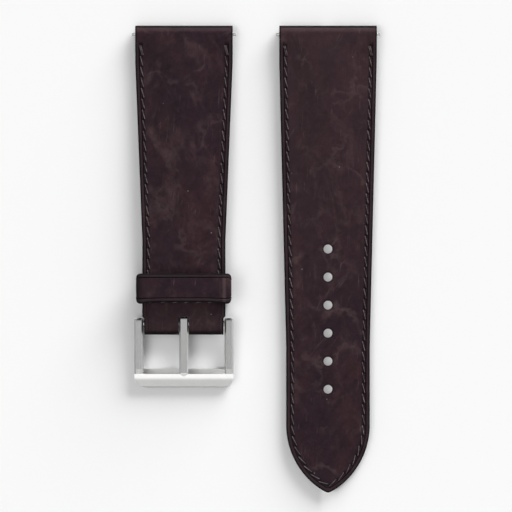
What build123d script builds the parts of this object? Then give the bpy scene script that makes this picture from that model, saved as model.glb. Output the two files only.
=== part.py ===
# Two-piece leather watch strap with a pin buckle, lying flat with its two pieces side by side.
# Millimetres, +Z up. The origin is on the table, under the middle of the pair; the lug ends point to +Y.
from math import acos, asin, atan2, cos, hypot, sin, sqrt
from typing import NamedTuple
import os

from build123d import *

# Places of the two pieces: the buckle piece lies at -X and the hole piece at +X
lane_x = 17.75
strap_end_y = 57.55

# Widths and lengths
lug_width = 24.0
buckle_piece_width = 20.45
hole_piece_width = 20.6
taper_start_y = 48.5
buckle_taper_end_y = 4.7
hole_taper_end_y = -21.9
tip_flank_radius = 19.0
tip_nose_radius = 0.8

# Thicknesses of the leather, along each piece
lug_thickness = 4.2
crown_thickness = 4.9
crown_edge_thickness = 3.1
tail_thickness = 2.5
keeper_zone_thickness = 2.8
keeper_zone_crown = 3.2
fold_thickness = 3.7
skin_thickness = 1.1
lining_thickness = 0.9
border_width = 3.4
edge_bevel = 0.3

# Places along the pieces
padding_start_y = 51.0
lining_start_y = 46.0
hole_padding_end_y = 8.0
hole_flat_start_y = 6.0
buckle_padding_end_y = -2.0
buckle_lining_end_y = -7.5
buckle_flat_start_y = -8.5
fold_swell_end_y = -12.6
lift_end_y = 14.0

# Adjusting holes
hole_count = 6
hole_radius = 1.15
hole_pitch = 6.92
first_hole_y = 2.5

# Saddle stitching
seam_inset = 1.55
seam_start_inset = 4.8
cross_seam_y = -10.7
stitch_pitch = 2.61
stitch_offset = 0.35
thread_radius = 0.17
thread_bend_radius = 0.21
thread_gap = 0.03
groove_width = 1.3
top_groove_depth = 0.2
under_groove_depth = 0.44

# Keeper loop
keeper_width = 23.4
keeper_length = 7.4
keeper_wall = 1.1
keeper_lift_gap = 0.15
keeper_spare_height = 0.2
keeper_corner_radius = 1.8
keeper_plan_radius = 1.1
keeper_middle_y = -7.24
keeper_joint_gap = 0.1
keeper_stitch_reach = 1.3
keeper_stitch_pitch = 2.0
keeper_stitch_count = 3
keeper_stitch_depth = 0.6

# Buckle frame
buckle_bar_y = -15.84
frame_inner_width = 20.0
frame_arm_width = 2.2
ear_radius = 1.36
front_inner_y = -27.07
front_ridge_y = -28.27
front_outer_y = -31.62
front_ridge_height = 3.35
front_slope_height = 1.6
front_lip_height = 1.7
front_bevel_run = 0.3
front_bevel_drop = 0.42
front_dome_rise = 0.22
arm_heel_y = -25.6
frame_corner_radius = 2.9
ear_corner_radius = 0.6
ear_top_round = 0.8
frame_bevel = 0.42
ear_hole_depth = 1.5

# Buckle tongue
tongue_width = 2.2
tongue_eye_radius = 1.5
tongue_eye_round = 0.5
tongue_eye_corner = 0.6
tongue_tip_y = -28.79
tongue_tip_round = 0.8
tongue_bevel = 0.3
tongue_slot_gap = 0.15

# The fold that holds the buckle bar
fold_side_gap = 0.25
fold_end_y = -18.6
shoulder_gap = 0.45

# Spring bars
lug_tube_radius = 0.9
buckle_tube_radius = 0.75
bar_channel_gap = 0.1
tube_wall = 0.15
tube_lip = 0.3
tip_travel = 1.4
pin_radius = 0.4
pin_bevel = 0.1
lug_pin_reach = 0.85
ear_pin_reach = 1.3
tip_collar_inset = 0.05
tip_collar_length = 0.6
tip_collar_radius = 0.7
tip_neck_radius = 0.42
tip_head_length = 0.6
slide_gap = 0.05
spring_wire_radius = 0.14
spring_wall_gap = 0.06
spring_pitch = 1.2

# One overrun for every cut
overrun = 1.0


class Station(NamedTuple):
    """The strap at one place along Y: half width, underside height, edge and middle thickness."""

    y: float
    half: float
    low: float
    edge: float
    mid: float


# Values worked out from the sizes above
lug_radius = lug_thickness / 2
lug_axis_y = strap_end_y - lug_radius
lug_axis_z = lug_radius
strap_lift = keeper_wall + keeper_lift_gap
fold_radius = fold_thickness / 2
bar_z = strap_lift + fold_radius
fold_middle_y = fold_end_y + fold_radius
fold_width = frame_inner_width - 2 * fold_side_gap
shoulder_y = buckle_bar_y + ear_radius + shoulder_gap
lug_channel_radius = lug_tube_radius + bar_channel_gap
buckle_channel_radius = buckle_tube_radius + bar_channel_gap
frame_width = frame_inner_width + 2 * frame_arm_width
ear_hole_radius = pin_radius + slide_gap
hole_half_width = hole_piece_width / 2
tip_centre_x = tip_flank_radius - hole_half_width
tip_length = sqrt((tip_flank_radius - tip_nose_radius) ** 2 - tip_centre_x**2) + tip_nose_radius
tip_start_y = -strap_end_y + tip_length
keeper_inner_height = keeper_lift_gap + keeper_zone_crown + tail_thickness + keeper_spare_height
keeper_height = keeper_inner_height + 2 * keeper_wall
keeper_inner_width = keeper_width - 2 * keeper_wall
seam_start_y = strap_end_y - seam_start_inset
thread_slot = thread_radius + thread_gap


def hole_piece_profile():
    """Stations of the hole piece from its lug bar to its tip; it lies flat on the table."""
    lug, tail = lug_width / 2, hole_half_width
    flat_share = (taper_start_y - hole_flat_start_y) / (taper_start_y - hole_taper_end_y)
    flat_half = lug + (tail - lug) * flat_share
    return [
        Station(lug_axis_y, lug, 0, lug_thickness, lug_thickness),
        Station(taper_start_y, lug, 0, crown_edge_thickness, crown_thickness),
        Station(hole_flat_start_y, flat_half, 0, tail_thickness, tail_thickness),
        Station(hole_taper_end_y, tail, 0, tail_thickness, tail_thickness),
        Station(-strap_end_y - overrun, tail, 0, tail_thickness, tail_thickness),
    ]


def buckle_piece_profile():
    """Stations of the buckle piece; its buckle end is lifted by the keeper that lies under it."""
    lug, tail = lug_width / 2, buckle_piece_width / 2
    lift_share = (taper_start_y - lift_end_y) / (taper_start_y - buckle_taper_end_y)
    lift_half = lug + (tail - lug) * lift_share
    lift_edge = crown_edge_thickness + (keeper_zone_thickness - crown_edge_thickness) * lift_share
    lift_mid = crown_thickness + (keeper_zone_crown - crown_thickness) * lift_share
    thin, fold = keeper_zone_thickness, fold_thickness
    return [
        Station(lug_axis_y, lug, 0, lug_thickness, lug_thickness),
        Station(taper_start_y, lug, 0, crown_edge_thickness, crown_thickness),
        Station(lift_end_y, lift_half, strap_lift, lift_edge, lift_mid),
        Station(buckle_taper_end_y, tail, strap_lift, thin, keeper_zone_crown),
        Station(buckle_flat_start_y, tail, strap_lift, thin, thin),
        Station(fold_swell_end_y, tail, strap_lift, fold, fold),
        Station(shoulder_y, tail, strap_lift, fold, fold),
    ]


def station_at(profile, y):
    """The station at y, between its two neighbours in the profile or equal to the nearer end."""
    for upper, lower in zip(profile, profile[1:]):
        if y >= lower.y:
            share = (upper.y - min(y, upper.y)) / (upper.y - lower.y)
            return Station(y, *(a + (b - a) * share for a, b in zip(upper[1:], lower[1:])))
    return profile[-1]._replace(y=y)


def loft_along(profile, start_y, end_y, outline):
    """A straight-sided body through the outlines at the two ends and at each station between them."""
    places = [start_y] + [s.y for s in profile if end_y < s.y < start_y] + [end_y]
    return Solid.make_loft([outline(station_at(profile, y)) for y in places], ruled=True)


def strap_outline(s):
    """Flat underside, bevelled corners, flat borders and an arched middle."""
    x, border, low, top = s.half, s.half - border_width, s.low, s.low + s.edge
    right = [(x - edge_bevel, low), (x, low + edge_bevel), (x, top - edge_bevel), (x - edge_bevel, top)]
    right = [Vector(px, s.y, pz) for px, pz in right] + [Vector(border, s.y, top)]
    left = [Vector(-p.X, p.Y, p.Z) for p in reversed(right)]
    crown = Vector(0, s.y, s.low + s.mid)
    arched = s.mid > s.edge
    ends = (right[-1], left[0])
    middle = Edge.make_three_point_arc(ends[0], crown, ends[1]) if arched else Edge.make_line(*ends)
    lines = [Edge.make_line(a, b) for a, b in zip(right, right[1:])]
    lines += [middle] + [Edge.make_line(a, b) for a, b in zip(left, left[1:])]
    return Wire(lines + [Edge.make_line(left[-1], right[0])])


def padding_outline(s):
    """The filler's outline: inside the borders, on the lining and under the top leather."""
    x, floor, top = s.half - border_width, s.low + lining_thickness, s.low + s.edge - skin_thickness
    crown = s.low + max(s.mid, s.edge + edge_bevel) - skin_thickness
    low_left, low_right = Vector(-x, s.y, floor), Vector(x, s.y, floor)
    top_left, top_right = Vector(-x, s.y, top), Vector(x, s.y, top)
    arch = Edge.make_three_point_arc(top_right, Vector(0, s.y, crown), top_left)
    lines = [(low_left, low_right), (low_right, top_right)]
    edges = [Edge.make_line(a, b) for a, b in lines] + [arch, Edge.make_line(top_left, low_left)]
    return Wire(edges)


def slab_outline(bottom, top):
    """An outline function for a slab wider than the strap, between two heights given per station."""

    def outline(s):
        x = s.half + overrun
        corners = [(-x, bottom(s)), (x, bottom(s)), (x, top(s)), (-x, top(s))]
        return Wire.make_polygon([Vector(px, s.y, pz) for px, pz in corners], close=True)

    return outline


def cross_rod(radius, length, y, z):
    """A cylinder across the strap, along X."""
    return Pos(0, y, z) * Rot(0, 90, 0) * Cylinder(radius, length)


def lug_loop(profile):
    """The body of a piece from its first station on, with the round fold over the lug bar."""
    fold = cross_rod(lug_radius, lug_width, lug_axis_y, lug_axis_z)
    fold = chamfer(fold.edges().filter_by(GeomType.CIRCLE), edge_bevel)
    body = loft_along(profile, lug_axis_y, profile[-1].y, strap_outline)
    return body + fold - cross_rod(lug_channel_radius, lug_width + overrun, lug_axis_y, lug_axis_z)


def tip_plan():
    """Plan of the hole piece: open above, and two flank arcs that meet in a small nose below."""
    wide, high = lug_width, strap_end_y + overrun
    nose_y = tip_start_y - tip_length + tip_nose_radius
    turn = acos(tip_centre_x / (tip_flank_radius - tip_nose_radius))
    touch = Vector(tip_nose_radius * cos(turn), nose_y - tip_nose_radius * sin(turn))
    across, down = tip_flank_radius * cos(turn / 2), tip_flank_radius * sin(turn / 2)
    flank = Vector(across - tip_centre_x, tip_start_y - down)
    start = Vector(hole_half_width, tip_start_y)
    mirrored = [Vector(-p.X, p.Y) for p in (touch, flank, start)]
    nose = Vector(0, tip_start_y - tip_length)
    right = [(start.X, start.Y), (wide, start.Y), (wide, high)]
    outer = right + [(-x, y) for x, y in reversed(right)]
    edges = [
        Edge.make_three_point_arc(start, flank, touch),
        Edge.make_three_point_arc(touch, nose, mirrored[0]),
        Edge.make_three_point_arc(*mirrored),
    ]
    edges += [Edge.make_line(Vector(*a), Vector(*b)) for a, b in zip(outer, outer[1:])]
    return Face(Wire(edges))


def hole_places():
    """Y of each adjusting hole, from the lug end on."""
    return [first_hole_y - i * hole_pitch for i in range(hole_count)]


def hole_piece_body():
    """The whole outer form of the hole piece, with its holes."""
    high = lug_thickness + crown_thickness
    plan = extrude(tip_plan(), high, both=True)
    punches = [Pos(0, y, 0) * Cylinder(hole_radius, high) for y in hole_places()]
    return (lug_loop(hole_piece_profile()) & plan) - punches


def tongue_slot():
    """The opening in the fold that the tongue swings in, undercut where the corner of its eye sweeps past."""
    width, reach = tongue_width + 2 * tongue_slot_gap, tongue_eye_radius + tongue_slot_gap
    low_y, high_y = fold_end_y - overrun, buckle_bar_y + reach
    block = Box(width, high_y - low_y, fold_thickness + 2 * overrun)
    swept_radius = (tongue_eye_radius - tongue_eye_round) * sqrt(2) + tongue_eye_round
    relief = cross_rod(swept_radius + tongue_slot_gap, width, buckle_bar_y, bar_z)
    return Pos(0, (low_y + high_y) / 2, bar_z) * block + relief


def buckle_fold():
    """The narrower end of the buckle piece, folded round the bar with some slack, and slit for the tongue."""
    length = shoulder_y - fold_middle_y
    block = Pos(0, fold_middle_y + length / 2, bar_z) * Box(fold_width, length, fold_thickness)
    end = cross_rod(fold_radius, fold_width, fold_middle_y, bar_z)
    end = chamfer(end.edges().filter_by(GeomType.CIRCLE), edge_bevel)
    return block + end


def buckle_channel():
    """The obround channel for the buckle bar: the bar sits at its upper end."""
    width, slack = fold_width + 2 * overrun, buckle_bar_y - fold_middle_y
    ends = [cross_rod(buckle_channel_radius, width, y, bar_z) for y in (buckle_bar_y, fold_middle_y)]
    middle = Pos(0, fold_middle_y + slack / 2, bar_z) * Box(width, slack, 2 * buckle_channel_radius)
    return ends[0] + ends[1] + middle


def buckle_piece_body():
    """The whole outer form of the buckle piece."""
    return lug_loop(buckle_piece_profile()) + buckle_fold() - buckle_channel() - tongue_slot()


def side_run(profile, end_y, side):
    """Seam lines down one side, from the lug end to end_y, as straight edges."""
    places = [seam_start_y] + [s.y for s in profile if end_y < s.y < seam_start_y] + [end_y]
    points = [Vector(side * (station_at(profile, y).half - seam_inset), y) for y in places]
    return [Edge.make_line(a, b) for a, b in zip(points, points[1:])]


def tip_seam_arc():
    """The left half of the seam round the tip, from the straight side to the middle."""
    radius = tip_flank_radius - seam_inset
    turn = acos(tip_centre_x / radius)
    turns = (0, turn / 2, turn)
    places = [Vector(tip_centre_x - radius * cos(a), tip_start_y - radius * sin(a)) for a in turns]
    return Edge.make_three_point_arc(*places)


def turned_back(edges):
    """The same seam mirrored to the right side, walked the other way."""
    back = []
    for edge in reversed(edges):
        start, middle, end = (Vector(-p.X, p.Y) for p in (edge @ 1, edge @ 0.5, edge @ 0))
        straight = edge.geom_type == GeomType.LINE
        back.append(Edge.make_line(start, end) if straight else Edge.make_three_point_arc(start, middle, end))
    return back


def hole_seam_runs():
    """Down the left side and round to the tip, then from the tip up the right side."""
    left = side_run(hole_piece_profile(), tip_start_y, -1) + [tip_seam_arc()]
    return [left, turned_back(left)]


def buckle_seam_runs():
    """Down the left side, across behind the fold, and up the right side."""
    left = side_run(buckle_piece_profile(), cross_seam_y, -1)
    corner = left[-1] @ 1
    cross = [Edge.make_line(corner, Vector(-corner.X, corner.Y))]
    return [left, cross, turned_back(left)]


def awl_marks(runs):
    """Where the awl goes through: (place, direction of the seam) at even steps along each run."""
    marks, before = [], None
    for run in runs:
        lengths = [edge.length for edge in run]
        count = round(sum(lengths) / stitch_pitch)
        for i in range(count):
            walked, edges = sum(lengths) * i / count, list(zip(run, lengths))
            while walked > edges[0][1]:
                walked -= edges.pop(0)[1]
            edge, length = edges[0]
            way = edge % (walked / length)
            corner = before is not None and i == 0
            marks.append((edge @ (walked / length), (way + before).normalized() if corner else way))
        before = run[-1] % 1
    return marks + [(runs[-1][-1] @ 1, before)]


def right_of(way):
    """The direction to the right of a traveller in the XY plane."""
    return Vector(way.Y, -way.X)


def thread_tube(profile, marks, first_rises):
    """One of the two threads of a saddle stitch: over and under in turn, through every awl slit."""
    points = []
    for k, (place, way) in enumerate(marks):
        s = station_at(profile, place.Y)
        over = s.low + s.edge - top_groove_depth + thread_slot
        under = s.low + under_groove_depth - thread_slot
        rises = (k % 2 == 0) == first_rises
        leg = place + right_of(way) * (stitch_offset if rises else -stitch_offset)
        heights = [under, over] if rises else [over, under]
        if k == 0:
            heights[0] = (over + under) / 2
        if k == len(marks) - 1:
            heights[1] = (over + under) / 2
        points += [(leg.X, leg.Y, z) for z in heights]
    path = FilletPolyline(*points, radius=thread_bend_radius)
    return sweep(Plane(origin=path @ 0, z_dir=path % 0) * Circle(thread_radius), path=path)


def awl_slits(marks):
    """The slits that both threads pass through, square to the seam."""
    size = Box(2 * thread_slot, 2 * (stitch_offset + thread_slot), 2 * (lug_thickness + crown_thickness))
    return [Plane(origin=place, x_dir=way, z_dir=(0, 0, 1)) * size for place, way in marks]


def seam_grooves(profile, runs, end_y):
    """The shallow groove that the stitches lie in, on the top and on the underside."""
    tall = lug_thickness + crown_thickness
    lines = trace([edge for run in runs for edge in run], groove_width)
    band = extrude(lines, tall, both=True)
    start_y = seam_start_y + groove_width
    top = slab_outline(lambda s: s.low + s.edge - top_groove_depth, lambda s: s.low + tall)
    under = slab_outline(lambda s: s.low - overrun, lambda s: s.low + under_groove_depth)
    return [band & loft_along(profile, start_y, end_y, outline) for outline in (top, under)]


def lining_slab(profile, end_y):
    """The space under the top leather that the lining fills, cut wide."""
    outline = slab_outline(lambda s: s.low - overrun, lambda s: s.low + lining_thickness)
    return loft_along(profile, lining_start_y, end_y, outline)


def leather_piece(body, profile, runs, lining_end_y, padding_end_y, groove_end_y):
    """Splits a piece into top leather, padding, lining and its two threads."""
    marks = awl_marks(runs)
    cuts = awl_slits(marks) + seam_grooves(profile, runs, groove_end_y)
    slab = lining_slab(profile, lining_end_y)
    padding = loft_along(profile, padding_start_y, padding_end_y, padding_outline)
    return {
        "top_leather": body - slab - padding - cuts,
        "lining": (body & slab) - cuts,
        "padding": padding,
        "thread_a": thread_tube(profile, marks, True),
        "thread_b": thread_tube(profile, marks, False),
    }


def keeper_stitch_places():
    """Y of each stitch across the keeper's joint."""
    middle = (keeper_stitch_count - 1) / 2
    return [keeper_middle_y + (i - middle) * keeper_stitch_pitch for i in range(keeper_stitch_count)]


def keeper_band():
    """The loop: a band bent to a rounded box, butted together underneath, where it is sewn."""
    middle = Pos(0, keeper_middle_y, keeper_height / 2)
    inner_radius = keeper_corner_radius - keeper_wall
    ring = RectangleRounded(keeper_width, keeper_height, keeper_corner_radius)
    bore = RectangleRounded(keeper_inner_width, keeper_inner_height, inner_radius)
    band = extrude(Plane.XZ * (ring - bore), keeper_length / 2, both=True)
    plan = RectangleRounded(keeper_width, keeper_length, keeper_plan_radius)
    gap = Box(keeper_joint_gap, keeper_length + overrun, 2 * keeper_wall + overrun)
    joint = Pos(0, keeper_middle_y, 0) * gap
    band = middle * (band & extrude(plan, keeper_height, both=True)) - joint
    slot = 2 * thread_slot
    reach, deep = 2 * keeper_stitch_reach + slot, keeper_stitch_depth + thread_gap
    for y in keeper_stitch_places():
        band -= Pos(0, y, 0) * Box(reach, slot, 2 * under_groove_depth)
        for side in (-1, 1):
            band -= Pos(side * keeper_stitch_reach, y, 0) * Box(slot, slot, 2 * deep)
    return band


def keeper_thread():
    """Short stitches across the joint, sunk into the underside of the band."""
    low = under_groove_depth - thread_slot
    stitches = []
    for y in keeper_stitch_places():
        x, high = keeper_stitch_reach, keeper_stitch_depth
        points = [(-x, y, high), (-x, y, low), (x, y, low), (x, y, high)]
        path = FilletPolyline(*points, radius=thread_bend_radius)
        stitches.append(sweep(Plane(origin=path @ 0, z_dir=path % 0) * Circle(thread_radius), path=path))
    return Compound(stitches)


def touch_point(point, centre, radius, side):
    """Where a line from a point touches a circle, on its upper (side 1) or lower (side -1) half."""
    dy, dz = centre[0] - point[0], centre[1] - point[1]
    far = hypot(dy, dz)
    angle = atan2(dz, dy) + side * asin(radius / far)
    reach = sqrt(far**2 - radius**2)
    return (point[0] + reach * cos(angle), point[1] + reach * sin(angle))


def arm_top_line():
    """Top edge of an arm in side view, from the ridge, touching the ear's circle, to the end of the ear."""
    ridge = (front_ridge_y, front_ridge_height)
    touch = touch_point(ridge, (buckle_bar_y, bar_z), ear_radius, 1)
    slope = (touch[1] - ridge[1]) / (touch[0] - ridge[0])
    end_y = buckle_bar_y + ear_radius
    return ridge, (end_y, ridge[1] + slope * (end_y - ridge[0]))


def frame_side():
    """Side view of the buckle frame: ear, arm, and the domed front bar that lies on the table."""
    ridge, ear_corner = arm_top_line()
    heel, foot, lip = (arm_heel_y, 0), (front_outer_y, 0), (front_outer_y, front_lip_height)
    brow = (front_outer_y + front_bevel_run, front_lip_height + front_bevel_drop)
    dome = ((ridge[0] + brow[0]) / 2, (ridge[1] + brow[1]) / 2 + front_dome_rise)
    ear_low = touch_point(heel, (buckle_bar_y, bar_z), ear_radius, -1)
    turn = atan2(ear_low[1] - bar_z, ear_low[0] - buckle_bar_y) / 2
    ear_middle = (buckle_bar_y + ear_radius * cos(turn), bar_z + ear_radius * sin(turn))
    ear_end = (ear_corner[0], bar_z)
    outline = Curve() + [
        ThreePointArc(ear_low, ear_middle, ear_end),
        Polyline(ear_end, ear_corner, ridge),
        ThreePointArc(ridge, dome, brow),
        Polyline(brow, lip, foot, heel, ear_low),
    ]
    side = make_face(outline)
    corner = side.vertices().group_by(Axis.X)[-1].sort_by(Axis.Y)[-1]
    return Plane.YZ * fillet(corner, ear_top_round)


def frame_window():
    """The cut between the arms, with the sloping inner face of the front bar."""
    high, far = bar_z + ear_radius + overrun, buckle_bar_y + ear_radius + overrun
    points = [
        (front_inner_y, -overrun),
        (front_inner_y, front_slope_height),
        (front_ridge_y, front_ridge_height),
        (front_ridge_y, high),
        (far, high),
        (far, -overrun),
    ]
    return extrude(Plane.YZ * make_face(Polyline(*points, close=True)), frame_inner_width / 2, both=True)


def arm_bevels():
    """Square bars set on their corners along the four upper edges of the arms, to cut the bevels with."""
    ridge, end = arm_top_line()
    run = Vector(0, end[0] - ridge[0], end[1] - ridge[1])
    square = Rot(45, 0, 0) * Box(run.length, frame_bevel * sqrt(2), frame_bevel * sqrt(2))
    middle_y, middle_z = (ridge[0] + end[0]) / 2, (ridge[1] + end[1]) / 2
    bars = []
    for x in (frame_inner_width / 2, frame_width / 2):
        for side in (-1, 1):
            place = Plane(origin=(side * x, middle_y, middle_z), x_dir=run, z_dir=(0, -run.Z, run.Y))
            bars.append(place * square)
    return bars


def frame_plan():
    """Plan of the frame: a front bar with two large corners, and arms with small ones at their ears."""
    far = buckle_bar_y + ear_radius
    length = far + frame_corner_radius - front_outer_y
    whole = Pos(0, front_outer_y + length / 2) * RectangleRounded(frame_width, length, frame_corner_radius)
    depth = front_inner_y - front_outer_y
    keep = Pos(0, front_outer_y + depth / 2) * Rectangle(frame_width, depth)
    reach = far - front_ridge_y
    arm = Pos(0, far - reach / 2) * RectangleRounded(frame_arm_width, reach, ear_corner_radius)
    for side in (-1, 1):
        keep += Pos(side * (frame_inner_width + frame_arm_width) / 2, 0) * arm
    return whole & keep


def buckle_frame():
    """The frame in one piece, with bevelled arms and with ears drilled for the bar."""
    prism = extrude(frame_plan(), bar_z + ear_radius + overrun, both=True)
    frame = (extrude(frame_side(), frame_width / 2, both=True) & prism) - frame_window() - arm_bevels()
    return frame - cross_rod(ear_hole_radius, frame_inner_width + 2 * ear_hole_depth, buckle_bar_y, bar_z)


def buckle_tongue():
    """An eye on the bar and a flat shank, flush with its top, whose tip rests on the front bar's ridge."""
    top, low = bar_z + tongue_eye_radius, front_ridge_height + slide_gap
    end_y = buckle_bar_y + tongue_eye_radius
    points = [(end_y, bar_z), (end_y, top), (tongue_tip_y, top), (tongue_tip_y, low), (buckle_bar_y, low)]
    side = make_face(Polyline(*points, (buckle_bar_y, bar_z), close=True))
    side = fillet(side.vertices().group_by(Axis.X)[0].sort_by(Axis.Y)[-1], tongue_tip_round)
    side = fillet(side.vertices().group_by(Axis.X)[-1].sort_by(Axis.Y)[-1], tongue_eye_round)
    shank = extrude(Plane.YZ * side, tongue_width / 2, both=True)
    shank = chamfer(shank.edges().filter_by(Axis.Y).group_by(Axis.Z)[-1], tongue_bevel)
    eye = cross_rod(tongue_eye_radius, tongue_width, buckle_bar_y, bar_z)
    eye = chamfer(eye.edges().filter_by(GeomType.CIRCLE), tongue_bevel)
    plan = Pos(0, (end_y + tongue_tip_y) / 2) * SlotOverall(end_y - tongue_tip_y, tongue_width, rotation=90)
    plan += Pos(0, buckle_bar_y) * RectangleRounded(tongue_width, 2 * tongue_eye_radius, tongue_eye_corner)
    prism = extrude(plan, 2 * top, both=True)
    bore = cross_rod(buckle_tube_radius + slide_gap, tongue_width + overrun, buckle_bar_y, bar_z)
    return ((shank + eye) & prism) - bore


def rod_between(radius, start_x, end_x):
    """A cylinder on the X axis from start_x to end_x."""
    return Pos((start_x + end_x) / 2, 0, 0) * Rot(0, 90, 0) * Cylinder(radius, abs(end_x - start_x))


def bar_tip(tube_radius, collar_x, pin_end_x, tube_end_x):
    """Right-hand tip of a spring bar: pin, collar, neck through the tube's lip, and captive head."""
    head_end = tube_end_x - tube_lip - slide_gap
    pin = rod_between(pin_radius, collar_x - tip_collar_length, pin_end_x)
    pin = chamfer(pin.edges().filter_by(GeomType.CIRCLE).sort_by(Axis.X)[-1], pin_bevel)
    collar = rod_between(tip_collar_radius, collar_x - tip_collar_length, collar_x)
    neck = rod_between(tip_neck_radius, head_end - tip_head_length, collar_x)
    head = rod_between(tube_radius - tube_wall - slide_gap, head_end - tip_head_length, head_end)
    return pin + collar + neck + head


def bar_spring(tube_radius, half_length):
    """The coil spring that pushes the two tips apart."""
    coil_radius = tube_radius - tube_wall - spring_wall_gap - spring_wire_radius
    length = 2 * (half_length - spring_wire_radius)
    start = Vector(-length / 2, 0, 0)
    path = Helix(spring_pitch, length, coil_radius, center=start, direction=(1, 0, 0))
    wire = Plane(origin=path @ 0, z_dir=path % 0) * Circle(spring_wire_radius)
    return sweep(wire, path=path, is_frenet=True)


def spring_bar(tube_radius, collar_x, pin_end_x):
    """One spring bar about the origin, along X, with its tips at full reach."""
    tube_end = collar_x - tip_collar_length - tip_travel - slide_gap
    bore = rod_between(tube_radius - tube_wall, tube_lip - tube_end, tube_end - tube_lip)
    mouth = rod_between(tip_neck_radius + slide_gap, -tube_end - overrun, tube_end + overrun)
    right = bar_tip(tube_radius, collar_x, pin_end_x, tube_end)
    spring_end = tube_end - tube_lip - slide_gap - tip_head_length - slide_gap
    return {
        "tube": rod_between(tube_radius, -tube_end, tube_end) - bore - mouth,
        "spring": bar_spring(tube_radius, spring_end),
        "tip_left": mirror(right, Plane.YZ),
        "tip_right": right,
    }


def placed(prefix, pieces, place):
    """Names the pieces of a sub-assembly and moves them to their place."""
    return {f"{prefix}_{name}": place * shape for name, shape in pieces.items()}


def strap():
    """Every node of the strap, by name."""
    left, right = Pos(-lane_x, 0, 0), Pos(lane_x, 0, 0)
    buckle_profile, hole_profile = buckle_piece_profile(), hole_piece_profile()
    buckle_runs, hole_runs = buckle_seam_runs(), hole_seam_runs()
    groove_end, tail_end = cross_seam_y - groove_width, -strap_end_y - overrun
    buckle_ends = (buckle_lining_end_y, buckle_padding_end_y, groove_end)
    hole_ends = (tail_end, hole_padding_end_y, tail_end)
    buckle_piece = leather_piece(buckle_piece_body(), buckle_profile, buckle_runs, *buckle_ends)
    hole_piece = leather_piece(hole_piece_body(), hole_profile, hole_runs, *hole_ends)
    lug_bar = spring_bar(lug_tube_radius, lug_width / 2 - tip_collar_inset, lug_width / 2 + lug_pin_reach)
    ear_face = frame_inner_width / 2
    buckle_bar = spring_bar(buckle_tube_radius, ear_face - tip_collar_inset, ear_face + ear_pin_reach)
    lug_place = Pos(0, lug_axis_y, lug_axis_z)
    nodes = placed("buckle_side", buckle_piece, left) | placed("hole_side", hole_piece, right)
    nodes |= placed("keeper", {"band": keeper_band(), "thread": keeper_thread()}, left)
    nodes |= placed("buckle", {"frame": buckle_frame(), "tongue": buckle_tongue()}, left)
    nodes |= placed("buckle_side_lug_bar", lug_bar, left * lug_place)
    nodes |= placed("hole_side_lug_bar", lug_bar, right * lug_place)
    nodes |= placed("buckle_bar", buckle_bar, left * Pos(0, buckle_bar_y, bar_z))
    return nodes


def main():
    os.makedirs("parts", exist_ok=True)
    for name, shape in strap().items():
        export_step(shape, f"parts/{name}.step")


main()
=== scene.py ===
# Looks of the two-piece leather watch strap: waxed leather, saddle stitching, satin steel buckle.
# Lengths are in millimetres and are turned into metres where meshes are made.
import math

import bmesh
import bpy
import numpy as np
from mathutils import Matrix, Vector


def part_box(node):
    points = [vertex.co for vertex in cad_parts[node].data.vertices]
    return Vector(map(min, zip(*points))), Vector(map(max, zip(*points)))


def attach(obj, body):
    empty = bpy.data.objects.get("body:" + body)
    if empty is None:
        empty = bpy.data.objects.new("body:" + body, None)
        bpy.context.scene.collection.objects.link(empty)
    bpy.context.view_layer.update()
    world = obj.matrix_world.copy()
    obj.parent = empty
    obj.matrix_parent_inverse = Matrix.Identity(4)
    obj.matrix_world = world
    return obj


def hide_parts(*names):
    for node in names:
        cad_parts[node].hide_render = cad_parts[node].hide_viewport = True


MM = 0.001
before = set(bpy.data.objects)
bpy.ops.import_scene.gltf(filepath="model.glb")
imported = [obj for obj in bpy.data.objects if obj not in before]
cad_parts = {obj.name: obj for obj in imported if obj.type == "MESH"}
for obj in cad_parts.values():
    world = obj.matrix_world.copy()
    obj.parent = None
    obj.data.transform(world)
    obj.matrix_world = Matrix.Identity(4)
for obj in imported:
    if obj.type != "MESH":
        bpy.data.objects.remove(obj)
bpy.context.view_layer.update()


def box_mm(node):
    """Lowest and highest corner of a CAD node, in millimetres."""
    low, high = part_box(node)
    return np.array(low) / MM, np.array(high) / MM


# Sizes that the frame gives
buckle_low, buckle_high = box_mm("buckle_side_top_leather")
hole_low, hole_high = box_mm("hole_side_top_leather")
keeper_low, keeper_high = box_mm("keeper_band")
tongue_low, tongue_high = box_mm("buckle_tongue")
buckle_x = (buckle_low[0] + buckle_high[0]) / 2
hole_x = (hole_low[0] + hole_high[0]) / 2
lug_end_y = hole_high[1]
lug_half = (hole_high[0] - hole_low[0]) / 2

# Plan of the two pieces
buckle_half_width = 10.225
hole_half_width = 10.3
taper_start_y = 48.5
buckle_taper_end_y = 4.7
hole_taper_end_y = -21.9
tip_flank_radius = 19.0
tip_nose_soften = 0.5
tip_slope = 0.516
shoulder_y = -14.03
shoulder_step = 0.475
shoulder_run = 0.5
fold_radius = 1.85

# Thickness along the pieces: (Y, underside, thickness at the border, thickness in the middle)
lug_radius = 2.1
strap_lift = 1.25
hole_heights = [
    (lug_end_y - lug_radius, 0.0, 4.2, 4.2),
    (taper_start_y, 0.0, 3.1, 4.9),
    (6.0, 0.0, 2.5, 2.5),
    (hole_low[1], 0.0, 2.5, 2.5),
]
buckle_heights = [
    (lug_end_y - lug_radius, 0.0, 4.2, 4.2),
    (taper_start_y, 0.0, 3.1, 4.9),
    (14.0, strap_lift, 2.8, 3.55),
    (buckle_taper_end_y, strap_lift, 2.8, 3.2),
    (-8.5, strap_lift, 2.8, 2.8),
    (-12.6, strap_lift, 3.7, 3.7),
    (buckle_low[1], strap_lift, 3.7, 3.7),
]
border_width = 3.4
crown_power = 1.4

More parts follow.
